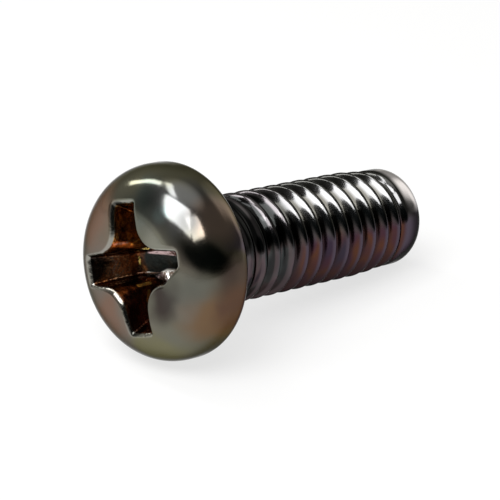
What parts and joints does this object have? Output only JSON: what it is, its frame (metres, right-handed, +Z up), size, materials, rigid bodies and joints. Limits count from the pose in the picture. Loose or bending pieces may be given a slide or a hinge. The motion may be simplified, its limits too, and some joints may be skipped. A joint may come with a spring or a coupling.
{
  "type": "machine screw",
  "caption": "Small machine screw with a domed pan head, a cross recess and a right-hand rolled thread that fades in under the head and out at a rounded point.",
  "frame": {"origin": "on the ground, under the middle of the screw's length, as it lies on the rim of its head and the round of its point", "axes": "+X from the head towards the point along the ground, +Z up; the screw's own axis dips 8.6 degrees towards the point"},
  "size_m": [0.0086, 0.0044, 0.0044],
  "materials": {
    "plated_steel": "black nickel plate over steel, bright, with straw and violet tints in the thread and amber in the recess"
  },
  "bodies": {
    "root": {"machine_screw": "plated_steel"}
  },
  "joints": []
}
